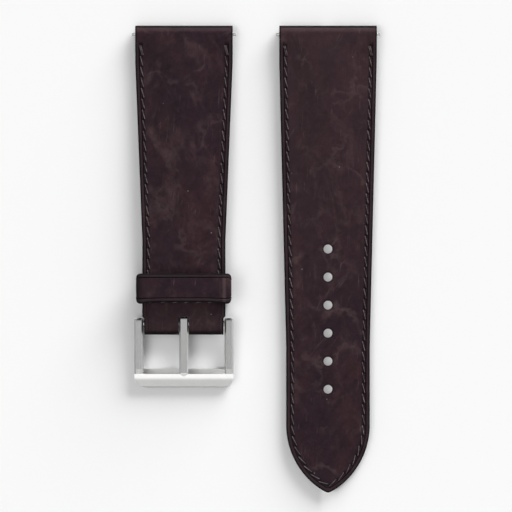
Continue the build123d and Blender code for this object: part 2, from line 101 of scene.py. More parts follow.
# Lining, the joint line over it, and the outer leather's own lower edge where there is no lining
lining_thickness = 0.9
lining_start_y = 46.0
buckle_lining_end_y = -7.5
joint_gap, joint_inset, joint_depth = 0.03, 0.14, 0.06
foot_height, foot_inset, foot_rise = 0.3, 0.06, 0.08
buried_height = 0.55

# Edges, crease and seam, by their distance from the edge
edge_round = 0.42
crease_inset, crease_width, crease_depth = 1.0, 0.085, 0.17
band_inset, band_width, band_swell = 0.65, 0.25, 0.035
seam_inset, seam_width, seam_depth = 1.55, 0.26, 0.1
under_groove_width, under_groove_depth = 0.34, 0.42
seam_start_inset = 4.8
cross_seam_y = -10.45
fold_relief = 0.35
awl_width, awl_depth = 0.26, 0.26

# Stitches and their thread, with how far it lies over the leather and how deep it dives at both ends
stitch_pitch = 2.61
stitch_slant = 0.34
back_stitch_shift = 0.16
stitch_rise, stitch_dive, dive_start = 0.13, 0.5, 0.74
under_rise, under_dive = 0.2, 0.45
thread_radius = 0.11
thread_twist = 1.15
ply_radius, ply_offset = 0.56 * thread_radius, 0.48 * thread_radius

# Adjusting holes
hole_count = 6
hole_radius = 1.1
hole_pitch = 6.92
first_hole_y = 2.5
rim_width, rim_depth = 0.3, 0.13

# Channels and slot
lug_axis_z = 2.1
lug_channel_radius = 1.0
bar_y, bar_z = -15.84, 3.1
bar_channel_radius = 0.85
slot_gap = 0.15
slot_relief_radius = 2.05
slot_length, slot_height = 10.0, 12.0
slot_half = (tongue_high[0] - tongue_low[0]) / 2 + slot_gap
slot_end_y = tongue_high[1] + slot_gap
through_width, through_height, through_z = 30.0, 8.0, 1.0

# Keeper
keeper_middle = (keeper_low + keeper_high) / 2
keeper_half = (keeper_high - keeper_low) / 2
keeper_wall = 1.1
keeper_corner = 1.8
keeper_plan_radius = 1.1
keeper_waist = 0.92
keeper_joint_gap = 0.1
keeper_edge_round = 0.36
keeper_crease_width, keeper_crease_depth = 0.09, 0.16
keeper_band_swell = 0.04
keeper_flat_inset = 3.2
keeper_lower_lift = 0.45
keeper_lower_share = 1.2
keeper_wave = 0.03
keeper_stitch_count, keeper_stitch_slant = 3, 0.15
keeper_stitch_dive, keeper_dive_start = 0.4, 0.7

# Along the leather: where it pales towards the lug end, the painted highlight and the painted shade at the
# lug end, and the painted light over the fold
lift_low_y, lift_high_y = -25.0, 45.0
lug_highlight_inset, lug_shade_inset = 1.35, 0.7
fold_light_y = -10.0

# Buckle frame: inner edge of its front bar, below which its flat faces keep the bevel tone, and a place just
# inside its left arm, left of which faces turned left get painted shade
front_bar_y = -27.07
left_arm_x = buckle_x - 9.8

# Mesh detail: rows along a piece, columns across it, the points of a stitch, and limits for clean shading.
# lining_edge holds (inset, height) round the lining's edge.
row_step = 0.22
round_rows, round_start = 22, math.pi / 2 - 0.04
tip_rows = 90
border_insets = [3.4, 3.0, 2.6, 2.3, 2.1, 1.95, 1.82, 1.7, 1.6, 1.5, 1.4, 1.3, 1.2, 1.13, 1.08, 1.04, 1.0]
border_insets += [0.96, 0.92, 0.87, 0.78, 0.66, 0.54, 0.42, 0.3, 0.2, 0.12, 0.06, 0.02, 0.0]
inner_shares = [0, 0.036, 0.072, 0.11, 0.145, 0.18, 0.22, 0.255, 0.29, 0.335, 0.39, 0.46]
inner_shares += [0.55, 0.64, 0.73, 0.82, 0.91]
wall_shares = [0.15, 0.35, 0.55, 0.75, 0.92, 1.0]
under_insets = [0.5, 0.9, 1.15, 1.28, 1.4, 1.5, 1.6, 1.7, 1.82, 1.95, 2.2, 3.4]
under_shares = [0.85, 0.65, 0.45, 0.3, 0.22, 0.18, 0.145, 0.11, 0.072, 0.036, 0]
lining_edge = [(0.3, 0.0), (0.15, 0.03), (0.05, 0.1), (0.0, 0.22), (0.0, 0.5), (0.0, 0.8), (0.06, 0.88)]
lining_edge += [(0.2, 0.9)]
lining_top_shares = [1.0, 0.7, 0.35, 0.0]
keeper_insets = [0.0, 0.03, 0.09, 0.17, 0.27, 0.38, 0.5, 0.64, 0.78, 0.88, 0.94, 1.0, 1.06, 1.12, 1.22]
keeper_insets += [1.5, 2.0, 2.6]
seam_points, cross_seam_points = 240, 40
stitch_points, keeper_stitch_points, keeper_corner_points = 17, 13, 13
plies, ply_sides = 3, 6
cutter_sides = 56
weld_distance, sliver_length = 0.002, 0.0001
cut_angle, leather_angle, thread_angle = 40.0, 50.0, 60.0


def screen_colour(red, green, blue):
    """Linear colour of an 8-bit screen colour."""
    parts = []
    for value in (red, green, blue):
        value /= 255
        parts.append(value / 12.92 if value <= 0.04045 else ((value + 0.055) / 1.055) ** 2.4)
    return (*parts, 1.0)


# Colours
AUBERGINE = screen_colour(39, 23, 31)
UMBER = screen_colour(48, 28, 33)
DEEP = screen_colour(28, 16, 24)
PALE = screen_colour(69, 50, 52)
STREAK = screen_colour(86, 69, 70)
SPECK = screen_colour(150, 140, 142)
# Border band colours, burnished leather with a painted sheen; then painted shade for creases, awl marks and
# hole rims
BAND_GREY = screen_colour(42, 33, 37)
BAND_RED = screen_colour(46, 31, 35)
PAINTED_SHADE = screen_colour(10, 6, 8)
NEAR_BLACK = screen_colour(13, 10, 12)
NUBUCK_DARK, NUBUCK_LIGHT = screen_colour(58, 40, 33), screen_colour(72, 52, 43)
THREAD_DARK, THREAD_LIGHT = screen_colour(52, 45, 48), screen_colour(112, 101, 103)
STEEL_HIGHLIGHT = (0.97, 0.97, 0.96, 1)


class Graph:
    """A tree of shader nodes, with short calls that build it."""

    def __init__(self, tree):
        self.tree = tree

    def feed(self, socket, value):
        if isinstance(value, bpy.types.NodeSocket):
            self.tree.links.new(value, socket)
        else:
            socket.default_value = value

    def node(self, kind, inputs=(), **settings):
        made = self.tree.nodes.new("ShaderNode" + kind)
        for key, value in settings.items():
            setattr(made, key, value)
        for key, value in dict(inputs).items():
            self.feed(made.inputs[key], value)
        return made

    def calc(self, operation, a, b=0.0):
        return self.node("Math", {0: a, 1: b}, operation=operation).outputs[0]

    def times(self, a, b):
        return self.calc("MULTIPLY", a, b)

    def rise(self, value, low, high, start=0.0, end=1.0):
        """From start to end, smoothly, as value goes from low to high."""
        inputs = {"Value": value, "From Min": low, "From Max": high, "To Min": start, "To Max": end}
        return self.node("MapRange", inputs, interpolation_type="SMOOTHSTEP").outputs["Result"]

    def within(self, value, low, high, soft):
        """1 between low and high, falling to 0 over soft outside them."""
        return self.times(self.rise(value, low - soft, low), self.rise(value, high, high + soft, 1, 0))


class Paint(Graph):
    """A material, with short calls for its colours and relief."""

    def __init__(self, name):
        self.material = bpy.data.materials.new(name)
        self.material.use_nodes = True
        super().__init__(self.material.node_tree)
        self.shader = self.tree.nodes["Principled BSDF"]

    def mix(self, share, a, b, blend="MIX"):
        return self.node("Mix", {0: share, 6: a, 7: b}, data_type="RGBA", blend_type=blend).outputs[2]

    def over(self, under, mask, amount, colour):
        """The colour under, with another laid over it by a mask times an amount."""
        return self.mix(self.times(mask, amount), under, colour)

    def shaded(self, colour, tone):
        """The colour, darkened or lightened by a tone."""
        grey = self.node("CombineColor", {0: tone, 1: tone, 2: tone}).outputs[0]
        return self.mix(1.0, colour, grey, "MULTIPLY")

    def place(self, shift=(0, 0, 0), turn=0.0, stretch=(1, 1, 1)):
        """The piece's own coordinates in millimetres, turned about Z, then stretched and shifted."""
        own = self.node("TexCoord").outputs["Object"]
        in_mm = (1 / MM, 1 / MM, 1 / MM)
        turned = self.node("Mapping", {"Vector": own, "Rotation": (0, 0, turn), "Scale": in_mm}).outputs[0]
        return self.node("Mapping", {"Vector": turned, "Scale": stretch, "Location": shift}).outputs[0]

    def own(self, axis):
        """The piece's own X (0), Y (1) or Z (2) in millimetres."""
        return self.node("SeparateXYZ", {0: self.place()}).outputs[axis]

    def noise(self, place, scale, detail=2.0, roughness=0.5, distortion=0.0, output="Fac"):
        inputs = {"Vector": place, "Scale": scale, "Detail": detail}
        inputs |= {"Roughness": roughness, "Distortion": distortion}
        return self.node("TexNoise", inputs).outputs[output]

    def attribute(self, name):
        return self.node("Attribute", attribute_name=name, attribute_type="GEOMETRY").outputs["Fac"]

    def bump(self, height, depth_mm, under=None):
        """A normal that shows the height as relief, on top of another one."""
        inputs = {"Height": height, "Distance": depth_mm * MM, "Strength": 1.0}
        if under is not None:
            inputs["Normal"] = under
        return self.node("Bump", inputs).outputs[0]

    def finish(self, **values):
        for name, value in values.items():
            self.feed(self.shader.inputs[name.replace("_", " ")], value)
        return self.material


def dyed(g, seed, here, along):
    """Clouds of aubergine, umber, deep and pale dye, mottled all over."""
    clouds = g.noise(along, 0.13, 3.0, 0.55, 0.5)
    colour = g.mix(g.rise(clouds, 0.4, 0.68), AUBERGINE, UMBER)
    depths = g.noise(g.place((seed * 9.0, 60.0, 3.0), 0.5, (1, 0.6, 1)), 0.16, 4.0, 0.6, 0.8)
    colour = g.mix(g.rise(depths, 0.42, 0.72, 0.0, 0.75), colour, DEEP)
    pale = g.noise(g.place((seed * 23.0, -80.0, 9.0), -0.35, (1, 0.5, 1)), 0.21, 4.0, 0.6, 0.6)
    colour = g.mix(g.rise(pale, 0.5, 0.74, 0.0, 0.7), colour, PALE)
    return g.shaded(colour, g.rise(g.noise(here, 0.85, 6.0, 0.7, 0.3), 0.25, 0.75, 0.68, 1.23))


def pulled_up(g, colour, seed, here, streaks):
    """Pale slanted streaks and bent veins, where the wax was stretched."""
    slanted = g.place((seed * 7.0, 11.0, 2.0), 0.62, (0.55, 0.1, 1))
    patches = g.rise(g.noise(here, 0.16, 3.0, 0.6), 0.44, 0.64)
    streak = g.times(g.rise(g.noise(slanted, 1.0, 5.0, 0.62, 0.9), 0.56, 0.74), patches)
    colour = g.over(colour, streak, 0.6 * streaks, STREAK)
    wander = g.noise(here, 0.22, 4.0, 0.6, output="Color")
    bent = g.node("VectorMath", {0: wander, 1: (9.0, 9.0, 9.0), 2: here}, operation="MULTIPLY_ADD")
    cells = {"Vector": bent.outputs[0], "Scale": 0.085}
    borders = g.node("TexVoronoi", cells, feature="DISTANCE_TO_EDGE").outputs["Distance"]
    patches = g.rise(g.noise(here, 0.13, 3.0, 0.6), 0.46, 0.66)
    vein = g.times(g.rise(borders, 0.0, 0.075, 1.0, 0.0), patches)
    return g.over(colour, vein, 0.38 * streaks, STREAK)


def scratched(g, colour, here, thin, scratches):
    """Thin scratches along the piece, and a few pale specks."""
    patches = g.rise(g.noise(here, 0.22, 3.0), 0.44, 0.64)
    scratch = g.times(g.rise(g.noise(thin, 1.0, 3.0, 0.65, 0.25), 0.58, 0.74), patches)
    colour = g.over(colour, scratch, 0.6 * scratches, STREAK)
    cells = g.node("TexVoronoi", {"Vector": here, "Scale": 0.33, "Randomness": 1.0})
    chosen = g.calc("GREATER_THAN", g.node("SeparateColor", {0: cells.outputs["Color"]}).outputs[0], 0.72)
    speck = g.times(g.rise(cells.outputs["Distance"], 0.03, 0.075, 1, 0), chosen)
    return g.over(colour, speck, 0.55, SPECK)


def worked(g, colour, shift, inset, own_y, has_seam):
    """The burnished band along the edge with a painted sheen, and painted shade in the seam's channel, in the
    crease, at awl marks and at hole rims.
    """
    along = g.noise(g.place(shift, 0.0, (1, 0.35, 1)), 0.35, 3.0, 0.6)
    # Burnished band along the edge, with a painted sheen
    band_colour = g.mix(g.rise(along, 0.4, 0.66), BAND_GREY, BAND_RED)
    band = g.within(inset, band_inset - 0.25, band_inset + 0.15, 0.2)
    band = g.times(band, g.rise(along, 0.25, 0.7, 0.85, 0.4))
    seam_start_y = lug_end_y - seam_start_inset
    reach = g.rise(own_y, seam_start_y, seam_start_y + 1.2, 1.0, 0.0 if has_seam else 1.0)
    colour = g.mix(g.times(band, reach), colour, band_colour)
    if has_seam:
        # Painted shade in the seam's channel
        channel = g.times(g.within(inset, seam_inset - 0.35, seam_inset + 0.35, 0.25), reach)
        colour = g.over(colour, channel, 0.5, DEEP)
    # Painted shade in the crease
    crease = g.times(g.within(inset, crease_inset - 0.05, crease_inset + 0.06, 0.1), reach)
    colour = g.over(colour, crease, 0.9, PAINTED_SHADE)
    # Painted shade at the awl marks and hole rims
    return g.over(colour, g.attribute("pit"), 0.85, PAINTED_SHADE)


def leather_material(name, seed, lift=0.0, streaks=1.0, scratches=1.0, has_seam=True, fold_end_y=None,
                     bends=None):
    """Dark aubergine waxed leather with pull-up streaks, scratches, a worked border and black painted edges.

    lift pales it towards the lug end, and fold_end_y is the end of a fold, with painted light in front of it
    and painted shade in black at its rim.
    bends are the left and right X of a loop, with painted shade darkening to black at its left bend and a
    painted highlight at its right one.
    """
    g = Paint(name)
    shift = (seed * 41.0, seed * 17.0, seed * 5.0)
    here = g.place(shift)
    thin = g.place((seed * 3.0, 5.0, 1.0), 0.05, (2.6, 0.2, 1))
    inset, own_y = g.attribute("edge_mm"), g.own(1)
    colour = dyed(g, seed, here, g.place(shift, 0.0, (1, 0.42, 1)))
    colour = pulled_up(g, colour, seed, here, streaks)
    colour = scratched(g, colour, here, thin, scratches)
    if lift:
        colour = g.mix(g.rise(own_y, lift_low_y, lift_high_y, 0.0, lift), colour, PALE)
    # Painted highlight on the lug end's rounding, just inside the end
    turned = g.within(own_y, lug_end_y - lug_highlight_inset, lug_end_y - lug_shade_inset, 0.25)
    colour = g.over(colour, turned, 0.25, PALE)
    if bends:
        own_x = g.own(0)
        # Painted shade darkening the loop's left bend, and a painted highlight along its right bend
        colour = g.mix(g.rise(own_x, bends[0] + 0.4, bends[0] + 5.0, 0.85, 0.0), colour, DEEP)
        colour = g.over(colour, g.within(own_x, bends[1] - 1.9, bends[1] - 1.6, 0.5), 0.5, STREAK)
    colour = worked(g, colour, shift, inset, own_y, has_seam)

    # Black edge paint on the cut edges, widened below into painted shade in black at the lug end, the fold's
    # end and the loop's left bend
    edge = g.rise(inset, 0.22, 0.45, 1.0, 0.0)
    # Painted shade in black at the very lug end
    lug_shade_y = lug_end_y - lug_shade_inset
    edge = g.calc("MAXIMUM", edge, g.rise(own_y, lug_shade_y, lug_shade_y + 0.25))
    if fold_end_y is not None:
        # Painted light on the leather between the cross seam and the fold, where the keeper's shadow falls,
        # and painted shade in black at the fold's end
        colour = g.mix(g.rise(own_y, fold_light_y - 2.0, fold_light_y, 0.25, 0.0), colour, PALE)
        edge = g.calc("MAXIMUM", edge, g.rise(own_y, fold_end_y + 0.35, fold_end_y + 1.3, 1.0, 0.0))
    # Painted shade in black at the loop's left bend
    if bends:
        edge = g.calc("MAXIMUM", edge, g.rise(own_x, bends[0] + 0.3, bends[0] + 0.8, 1.0, 0.0))
    colour = g.mix(edge, colour, NEAR_BLACK)

    pores = g.node("TexVoronoi", {"Vector": here, "Scale": 3.4}, feature="SMOOTH_F1").outputs["Distance"]
    grain = g.bump(pores, 0.012)
    grain = g.bump(g.noise(here, 1.1, 5.0, 0.65), 0.05, grain)
    wear = g.bump(g.noise(thin, 1.0, 2.0, 0.6, 0.25), 0.02, grain)
    rough = g.rise(g.noise(here, 0.6, 4.0, 0.6), 0.3, 0.7, 0.5, 0.68)
    rough = g.calc("ADD", rough, g.times(edge, 0.2))
    return g.finish(Base_Color=colour, Roughness=rough, Normal=wear, Specular_IOR_Level=0.13)


def lining_material():
    """Dark brown nubuck, with black painted edges."""
    g = Paint("lining")
    here = g.place()
    colour = g.mix(g.rise(g.noise(here, 0.25, 4.0, 0.6), 0.35, 0.65), NUBUCK_DARK, NUBUCK_LIGHT)
    nap = g.noise(here, 5.0, 4.0, 0.7)
    colour = g.shaded(colour, g.rise(nap, 0.2, 0.8, 0.72, 1.25))
    # Painted shade at the awl marks and hole rims
    colour = g.over(colour, g.attribute("pit"), 0.7, PAINTED_SHADE)
    colour = g.mix(g.rise(g.attribute("edge_mm"), 0.1, 0.28, 1, 0), colour, NEAR_BLACK)
    return g.finish(Base_Color=colour, Roughness=0.85, Normal=g.bump(nap, 0.03), Specular_IOR_Level=0.2)


def thread_material():
    """Waxed grey-brown thread with fine fibre variation."""
    g = Paint("thread")
    tone = g.noise(g.place(), 1.3, 4.0, 0.65)
    colour = g.mix(g.rise(tone, 0.35, 0.68), THREAD_DARK, THREAD_LIGHT)
    fibres = g.noise(g.place(stretch=(1, 0.3, 1)), 14.0, 2.0)
    return g.finish(Base_Color=colour, Roughness=0.5, Normal=g.bump(fibres, 0.012), Specular_IOR_Level=0.45)


def steel_material(name, satin, polished, tone_flat, tone_bevel, across=False, steep_shade_tone=0.4, left_shade_tone=0.5,
                   front_y=None, outer_left_x=0.0):
    """Stainless steel with fine brushed lines, its flat faces in one tone and its bevels in another; where
    the flat tone is darker, that is painted shade.

    Faces turned right or back get a painted highlight, those turned left get painted shade in their own tone
    where X is below outer_left_x, and steep ones that aren't turned back get painted shade in the steep tone.
    Flat ones have tone_bevel below front_y.
    """
    g = Paint(name)
    lines = g.noise(g.place(stretch=(0.12, 5.0, 3.0) if across else (5.0, 0.12, 3.0)), 3.0, 3.0, 0.6)
    aside, back, facing = g.node("SeparateXYZ", {0: g.node("TexCoord").outputs["Normal"]}).outputs
    flat = g.rise(facing, 0.9, 0.98)
    rough = g.calc("ADD", g.times(flat, satin - polished), polished)
    rough = g.calc("ADD", rough, g.rise(lines, 0.3, 0.7, -0.02, 0.02))
    rough = g.calc("ADD", rough, g.rise(g.calc("ABSOLUTE", aside), 0.3, 0.6, 0.0, 0.3))
    clouds = g.noise(g.place(), 0.5, 3.0, 0.6)
    tone = g.times(g.rise(clouds, 0.3, 0.7, 0.985, 1.015), g.rise(lines, 0.3, 0.7, 0.985, 1.015))
    if front_y is not None:
        flat = g.times(flat, g.rise(g.own(1), front_y - 0.1, front_y + 0.1))
    # Flat faces in the flat tone, where darker a painted shade
    colour = g.mix(flat, (tone_bevel, tone_bevel * 0.995, tone_bevel * 0.985, 1),
                   (tone_flat, tone_flat * 0.995, tone_flat * 0.99, 1))
    # Painted highlight on faces turned right
    colour = g.mix(g.rise(aside, 0.3, 0.6), colour, STEEL_HIGHLIGHT)
    # Painted shade on faces turned left, left of outer_left_x
    outer_left = g.times(g.rise(aside, -0.6, -0.3, 1.0, 0.0), g.calc("LESS_THAN", g.own(0), outer_left_x))
    colour = g.mix(outer_left, colour, (left_shade_tone, left_shade_tone, left_shade_tone, 1))
    # Painted highlight on faces turned back
    colour = g.mix(g.rise(back, 0.12, 0.35), colour, STEEL_HIGHLIGHT)
    # Painted shade on steep faces that aren't turned back
    steep = g.times(g.rise(facing, 0.55, 0.69, 1.0, 0.0), g.rise(back, 0.2, 0.5, 1.0, 0.0))
    colour = g.shaded(g.mix(steep, colour, (steep_shade_tone, steep_shade_tone, steep_shade_tone, 1)), tone)
    return g.finish(Base_Color=colour, Metallic=1.0, Roughness=rough, Normal=g.bump(lines, 0.0006))


def add_object(name, data):
    """An object in the scene that shows this data."""
    obj = bpy.data.objects.new(name, data)
    bpy.context.scene.collection.objects.link(obj)
    return obj


def shade(mesh, angle):
    """Smooth shading, but for the edges sharper than this angle in degrees."""
    mesh.shade_smooth()
    mesh.set_sharp_from_angle(angle=math.radians(angle))


def new_object(name, verts, faces, material, angle, **attributes):
    """A welded, outward-facing, shaded mesh object from points in millimetres."""
    mesh = bpy.data.meshes.new(name)
    mesh.from_pydata((np.asarray(verts, float) * MM).tolist(), [], faces)
    for key, values in attributes.items():
        mesh.attributes.new(key, "FLOAT", "POINT").data.foreach_set("value", np.asarray(values, np.float32))
    mesh.materials.append(material)
    bm = bmesh.new()
    bm.from_mesh(mesh)
    bmesh.ops.remove_doubles(bm, verts=bm.verts, dist=weld_distance * MM)
    bmesh.ops.dissolve_degenerate(bm, edges=bm.edges, dist=sliver_length * MM)
    bmesh.ops.recalc_face_normals(bm, faces=bm.faces)
    bm.to_mesh(mesh)
    bm.free()
    shade(mesh, angle)
    return add_object(name, mesh)


def ring_faces(rings, count, far_end=True):
    """Faces between rings of points, with a cap on the first ring and, at a far end, on the last."""
    first = np.arange(rings - 1)[:, None] * count
    corner = first + np.arange(count)[None, :]
    after = first + (np.arange(count)[None, :] + 1) % count
    faces = np.stack([corner, after, after + count, corner + count], axis=2).reshape(-1, 4).tolist()
    faces.append(list(range(count)))
    if far_end:
        faces.append(list(range((rings - 1) * count, rings * count)))
    return faces


def cutter(bm, place, material):
    """A closed shape that is cut out of a piece."""
    mesh = bpy.data.meshes.new("cutter")
    bm.to_mesh(mesh)
    bm.free()
    mesh.materials.append(material)
    mesh.transform(place)
    return add_object("cutter", mesh)


def cylinder(radius, length, centre, turn, material):
    """A cylinder for cutting, along Z before its turn."""
    bm = bmesh.new()
    bmesh.ops.create_cone(
        bm, cap_ends=True, segments=cutter_sides, radius1=radius * MM, radius2=radius * MM, depth=length * MM
    )
    return cutter(bm, Matrix.Translation(Vector(centre) * MM) @ turn, material)


def block(size, centre, material):
    """A box for cutting."""
    bm = bmesh.new()
    bmesh.ops.create_cube(bm, size=1.0)
    scale = Matrix.Diagonal((size[0] * MM, size[1] * MM, size[2] * MM, 1))
    return cutter(bm, Matrix.Translation(Vector(centre) * MM) @ scale, material)


def cut(obj, cutters):
    """Cuts closed shapes out of a piece and removes them."""
    for shape in cutters:
        change = obj.modifiers.new("cut", "BOOLEAN")
        change.operation, change.solver, change.object = "DIFFERENCE", "EXACT", shape
    graph = bpy.context.evaluated_depsgraph_get()
    mesh = bpy.data.meshes.new_from_object(obj.evaluated_get(graph))
    obj.modifiers.clear()
    obj.data = mesh
    for shape in cutters:
        bpy.data.objects.remove(shape)
    shade(mesh, cut_angle)


def eased(y, table, column):
    """Value at y of one column of a height table, partly eased between its rows."""
    y = np.asarray(y, float)
    result = np.full(y.shape, float(table[0][column]))
    for before, after in zip(table, table[1:]):
        share = np.clip((before[0] - y) / (before[0] - after[0]), 0, 1)
        step = 0.5 * share + 0.5 * share * share * (3 - 2 * share)
        result = np.where(y < before[0], before[column] + (after[column] - before[column]) * step, result)
    return result


def fade(value, low, high):
    """0 below low, 1 above high, smooth between."""
    share = np.clip((value - low) / (high - low), 0, 1)
    return share * share * (3 - 2 * share)


def gauss(value, middle, width):
    """1 in the middle, falling off to both sides."""
    return np.exp(-(((value - middle) / width) ** 2))


class Side:
    """One strap piece: its outline, its heights, its relief and its seam."""

    def __init__(self, centre_x, taper_end_y, tail_half, heights, pointed, seed):
        self.centre_x, self.heights, self.pointed, self.seed = centre_x, heights, pointed, seed
        self.taper_end_y, self.tail_half = taper_end_y, tail_half
        self.tip_centre = tip_flank_radius - tail_half
        reach = math.sqrt(tip_flank_radius**2 - self.tip_centre**2)
        self.tip_start_y = hole_low[1] + reach - tip_nose_soften / 2
        self.end_y = hole_low[1] if pointed else buckle_low[1]
        self.seam_top_y = lug_end_y - seam_start_inset
        self.rows = self.make_rows()
        self.marks = self.make_marks()

    def make_rows(self):
        """(Y, share round the tip, share of the thickness) of each row, from the lug end to the other end."""
        axis_y = lug_end_y - lug_radius
        turns = np.linspace(round_start, 0, round_rows)[:-1]
        rows = [(axis_y + lug_radius * math.sin(turn), 0.0, math.cos(turn)) for turn in turns]
        last = self.tip_start_y if self.pointed else self.end_y + fold_radius
        rows += [(y, 0.0, 1.0) for y in np.linspace(axis_y, last, int((axis_y - last) / row_step))]
        if self.pointed:
            rows += [(last, share, 1.0) for share in np.linspace(0, 1, tip_rows)[1:]]
        else:
            turns = (math.pi / 2 - turns)[1:]
            rows += [(last - fold_radius * math.sin(turn), 0.0, math.cos(turn)) for turn in turns]
        return np.array(rows)

    def half_width(self, y):
        share = np.clip((taper_start_y - y) / (taper_start_y - self.taper_end_y), 0, 1)
        half = lug_half + (self.tail_half - lug_half) * share
        return half if self.pointed else half - shoulder_step * fade(shoulder_y - y, 0, shoulder_run)

    def outline(self, inset, rows=None):
        """X and Y of the line that runs this far inside the right edge, at every row."""
        rows = self.rows if rows is None else rows
        y, share = rows[:, 0], rows[:, 1]
        radius = tip_flank_radius - inset
        turn = share * math.acos(self.tip_centre / radius)
        x = np.where(share > 0, radius * np.cos(turn) - self.tip_centre, self.half_width(y) - inset)
        x = np.maximum(x, 0)
        tip_y = self.tip_start_y - radius * np.sin(turn)
        tip_y = tip_y + tip_slope * (np.sqrt(x * x + tip_nose_soften**2) - x) * share
        return x, np.where(share > 0, tip_y, y)

    def levels(self, y):
        """Underside, border top and middle top at each Y."""
        low = eased(y, self.heights, 1)
        return low, low + eased(y, self.heights, 2), low + eased(y, self.heights, 3)

    def squeezed(self, z, y):
        """Draws the heights of all rows in to a round end at the lug, and at a folded end."""
        low, edge = self.levels(y)[:2]
        middle = (low + edge) / 2
        return middle + (z - middle) * self.rows[:, 2]

    def relief(self, inset, y):
        """Height added by the rounded edge, the swollen band, the crease and the seam channel."""
        round_part = max(edge_round - inset, 0)
        drop = edge_round - math.sqrt(edge_round**2 - round_part**2)
        sewn = fade(self.seam_top_y + 0.5 - y, -0.3, 0.3)
        if not self.pointed:
            before_fold = fade(y, cross_seam_y - 0.5, cross_seam_y + 0.3)
            sewn = sewn * (fold_relief + (1 - fold_relief) * before_fold)
        swell = band_swell * gauss(inset, band_inset, band_width)
        crease = crease_depth * gauss(inset, crease_inset, crease_width)
        channel = seam_depth * gauss(inset, seam_inset, seam_width)
        return (swell - crease - channel) * sewn - drop

    def waves(self, x, y):
        """Gentle unevenness of a worked hide."""
        s = self.seed
        slow = 0.035 * np.sin(0.31 * x + 0.17 * y + s) * np.sin(0.23 * y - 0.2 * x + 2 * s)
        return slow + 0.015 * np.sin(0.9 * x + 1.3 * s) * np.sin(0.7 * y + s)

    def pits(self, x, y):
        """1 where the awl went through and at the rims of the holes, falling to 0 around them."""
        near = np.full(x.shape, 1e9)
        for place in self.marks:
            near = np.minimum(near, (x - place[0]) ** 2 + (y - place[1]) ** 2)
        awl = np.exp(-near / awl_width**2)
        rim = np.zeros(x.shape)
        if self.pointed:
            for i in range(hole_count):
                away = np.maximum(np.hypot(x, y - (first_hole_y - i * hole_pitch)) - hole_radius, 0)
                rim = np.maximum(rim, np.exp(-((away / rim_width) ** 2)))
        return awl, rim

    def under_groove(self, inset, y):
        """Depth of the stitching groove in the underside."""
        depth = under_groove_depth * gauss(inset, seam_inset, under_groove_width)
        return depth * fade(self.seam_top_y + 0.6 - y, 0, 0.4)

    def seam_z(self, x, y):
        """Height of the leather along the seam's channel."""
        return self.levels(y)[1] - seam_depth + self.waves(x, y)

    def seam_runs(self):
        """Points of each run of the right half's seam, from the lug end to the middle line."""
        if self.pointed:
            points = np.stack(self.outline(seam_inset), axis=1)
            return [points[points[:, 1] < self.seam_top_y]]
        ys = np.linspace(self.seam_top_y, cross_seam_y, seam_points)
        right = np.stack([self.half_width(ys) - seam_inset, ys], axis=1)
        return [right, np.linspace(right[-1], (0, cross_seam_y), cross_seam_points)]

    def make_marks(self):
        """Awl marks (x, y) at even steps along the seam, from the left lug end round to the right one."""
        marks, runs = [], self.seam_runs()
        for run in runs:
            walked = np.concatenate([[0], np.cumsum(np.hypot(*np.diff(run, axis=0).T))])
            count = round(walked[-1] / stitch_pitch)
            for i in range(count + (run is runs[-1])):
                at = walked[-1] * i / count
                marks.append(tuple(np.interp(at, walked, run[:, axis]) for axis in (0, 1)))
        ends_aside = marks[-1][0] > 0.3
        mirrored = marks[::-1] if ends_aside else marks[-2::-1]
        return np.array([(-x, y) for x, y in marks] + mirrored)

    def stitch_lines(self):
        """Start and end, in plan, of the visible part of each stitch, slanted as saddle stitches are."""
        starts, ends = self.marks[:-1], self.marks[1:]
        along = (ends - starts) / np.linalg.norm(ends - starts, axis=1)[:, None]
        aside = np.stack([along[:, 1], -along[:, 0]], axis=1)
        return starts + aside * stitch_slant, ends - aside * stitch_slant, aside


class Shell:
    """Collects columns (x, y, z, inset, painted shade at awl marks and hole rims) round a strap piece's
    section into one mesh.
    """

    def __init__(self, side):
        self.side, self.columns = side, []

    def add_half(self, columns, sign):
        """The right half, or with sign -1 the left one, which runs back and shares the middle columns."""
        for x, y, z, inset, pit in columns if sign > 0 else columns[::-1][1:-1]:
            inset, pit = (np.broadcast_to(value, x.shape) for value in (inset, pit))
            self.columns.append(np.stack([sign * x + self.side.centre_x, y, z, inset, pit], axis=1))

    def mesh(self, name, material):
        grid = np.stack(self.columns, axis=1)
        faces = ring_faces(*grid.shape[:2], far_end=not self.side.pointed)
        flat = grid.reshape(-1, 5)
        edge_mm, pit = flat[:, 3], flat[:, 4]
        return new_object(name, flat[:, :3], faces, material, leather_angle, edge_mm=edge_mm, pit=pit)


def outer_face(side, sign):
    """Columns of the outer leather's face, from the middle line out to the edge."""
    inner_x, inner_y = side.outline(border_width)
    places = [(inner_x * share, inner_y, border_width + 1, share) for share in inner_shares]
    places += [(*side.outline(inset), inset, 1.0) for inset in border_insets]
    columns = []
    for x, y, inset, share in places:
        edge, middle = side.levels(y)[1:]
        awl, rim = side.pits(sign * x, y)
        z = edge + (middle - edge) * (1 - share * share) ** crown_power + side.relief(inset, y)
        inside = min(max((inset - 0.3) / 0.3, 0), 1)
        z = z + (side.waves(sign * x, y) - awl_depth * awl - rim_depth * rim) * inside
        # The last value is painted shade at the awl marks and hole rims
        columns.append((x, y, side.squeezed(z, y), inset, np.maximum(awl, rim) * inside))
    return columns


